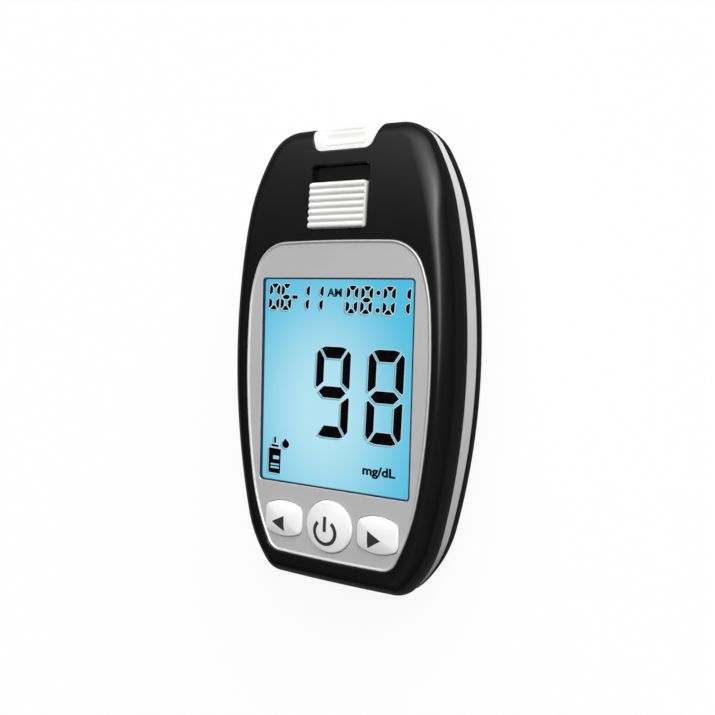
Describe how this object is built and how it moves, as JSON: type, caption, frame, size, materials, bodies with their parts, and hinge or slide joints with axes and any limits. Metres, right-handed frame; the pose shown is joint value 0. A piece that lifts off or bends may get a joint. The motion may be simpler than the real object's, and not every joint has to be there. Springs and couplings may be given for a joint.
{
  "type": "blood glucose meter",
  "caption": "Hand-held blood glucose meter with a lit display, domed keys, a ribbed strip ejector, a strip port at the end and a sliding battery door.",
  "frame": {"origin": "centre of the base, on the surface that the meter's back rests on", "axes": "+X right as the user looks at the display, +Y toward the test strip port, +Z out of the display"},
  "size_m": [0.054, 0.0952, 0.0194],
  "materials": {
    "black_shell": "moulded black plastic, satin gloss",
    "band_grey": "moulded light plastic",
    "silver_paint": "silver painted plate",
    "lens": "clear acrylic",
    "lcd_glass": "liquid crystal cell",
    "light_guide": "clear acrylic lit from its edge",
    "white_frame": "moulded white plastic",
    "black_rubber": "layered conductive rubber",
    "board_green": "glass epoxy with solder mask",
    "chip_epoxy": "moulded epoxy",
    "bright_metal": "nickel plated",
    "black_frame": "moulded black plastic",
    "silicone": "silicone rubber",
    "white_key": "moulded white plastic, glossy",
    "white_port": "moulded white plastic",
    "gilt_contact": "gilt spring contact",
    "spring_steel": "drawn steel",
    "cell_jacket": "plain foil jacket"
  },
  "bodies": {
    "housing": {"front_cover": "black_shell", "side_band": "band_grey", "back_cover": "black_shell", "faceplate": "silver_paint", "display_lens": "lens", "lcd_cell": "lcd_glass", "backlight": "light_guide", "display_tray": "white_frame", "zebra_strips": "black_rubber", "main_board": "board_green", "processor": "chip_epoxy", "memory_chip": "chip_epoxy", "crystal": "bright_metal", "buzzer": "black_frame", "switch_domes": "bright_metal", "keypad": "silicone", "strip_port": "white_port", "strip_connector": "black_frame", "strip_contacts": "gilt_contact", "ejector_springs": "spring_steel", "left_battery": "cell_jacket", "right_battery": "cell_jacket", "battery_plates": "bright_metal", "battery_link": "bright_metal", "battery_springs": "spring_steel", "case_screws": "spring_steel", "board_screws": "spring_steel"},
    "left_key": {"left_button": "white_key"},
    "power_key": {"power_button": "white_key"},
    "right_key": {"right_button": "white_key"},
    "ejector": {"ejector_slider": "white_port", "ejector_carriage": "white_frame"},
    "door": {"battery_door": "black_shell"}
  },
  "joints": [
    {"name": "left_press", "type": "slide", "parent": "housing", "child": "left_key", "axis": [0, 0, -1], "range_m": [0, 0.0006], "stiffness_N_per_m": 2500, "deforming": ["keypad"]},
    {"name": "power_press", "type": "slide", "parent": "housing", "child": "power_key", "axis": [0, 0, -1], "range_m": [0, 0.0006], "stiffness_N_per_m": 2500, "deforming": ["keypad"]},
    {"name": "right_press", "type": "slide", "parent": "housing", "child": "right_key", "axis": [0, 0, -1], "range_m": [0, 0.0006], "stiffness_N_per_m": 2500, "deforming": ["keypad"]},
    {"name": "ejector_slide", "type": "slide", "parent": "housing", "child": "ejector", "axis": [0, 1, 0], "range_m": [0, 0.0033], "stiffness_N_per_m": 400, "deforming": ["ejector_springs"]},
    {"name": "door_slide", "type": "slide", "parent": "housing", "child": "door", "axis": [0, -1, 0], "range_m": [0, 0.04]}
  ]
}
